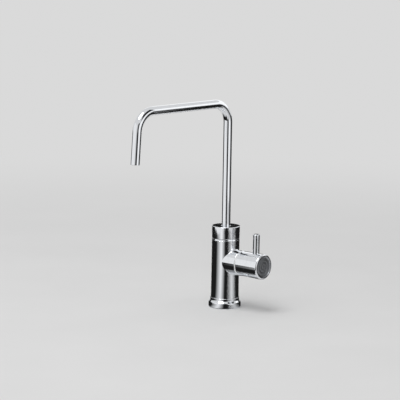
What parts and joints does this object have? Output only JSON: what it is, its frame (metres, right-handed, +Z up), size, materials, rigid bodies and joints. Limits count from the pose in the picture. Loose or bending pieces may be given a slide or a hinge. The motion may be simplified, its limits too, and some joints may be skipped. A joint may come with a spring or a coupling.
{
  "type": "water purifier tap",
  "caption": "Deck-mounted purifier tap with a square-U bent swivel spout, a round body and a side valve barrel worked by a pin lever.",
  "frame": {"origin": "centre of the base flange's underside, on the deck plane and on the tap's upright axis", "axes": "+Z up along the body and spout tube, -Y the way the spout reaches at rest, +X the valve's axis towards the handle"},
  "size_m": [0.092, 0.2145, 0.3615],
  "materials": {
    "chrome": "polished chrome plate on brass",
    "turned_chrome": "turned in round waves, satin chrome",
    "brass": "machined brass",
    "rubber": "black rubber",
    "ceramic": "lapped alumina",
    "acetal": "natural acetal plastic",
    "steel": "stainless steel",
    "fibre": "vulcanised fibre"
  },
  "bodies": {
    "body": {"valve_body": "chrome", "spout_collar": "chrome", "collar_ring": "chrome", "spout_bush": "acetal", "spout_thrust_washer": "acetal", "base_flange": "chrome", "base_gasket": "rubber", "mounting_shank": "brass", "deck_washer": "rubber", "clamp_washer": "steel", "lock_nut": "brass", "inlet_nipple": "brass", "inlet_washer": "fibre", "cartridge_housing": "brass", "cartridge_seat_seal": "rubber", "fixed_ceramic_disc": "ceramic", "cartridge_o_ring": "rubber", "cartridge_nut": "brass", "handle_glide_ring": "acetal"},
    "spout": {"spout_tube": "chrome", "outlet_straightener": "acetal", "spout_spigot": "brass", "spout_o_rings": "rubber"},
    "handle": {"handle_barrel": "chrome", "handle_cap": "turned_chrome", "lever_pin": "chrome", "handle_adaptor": "acetal", "handle_screw": "steel", "cartridge_spindle": "brass", "moving_ceramic_disc": "ceramic", "spindle_o_ring": "rubber", "spindle_clip": "steel"}
  },
  "joints": [
    {"name": "spout_swivel", "type": "hinge", "parent": "body", "child": "spout", "pos_m": [0, 0, 0.1], "axis": [0, 0, 1], "continuous": true},
    {"name": "handle_turn", "type": "hinge", "parent": "body", "child": "handle", "pos_m": [0.0305, 0, 0.0652], "axis": [1, 0, 0], "range_deg": [0, 90]}
  ]
}
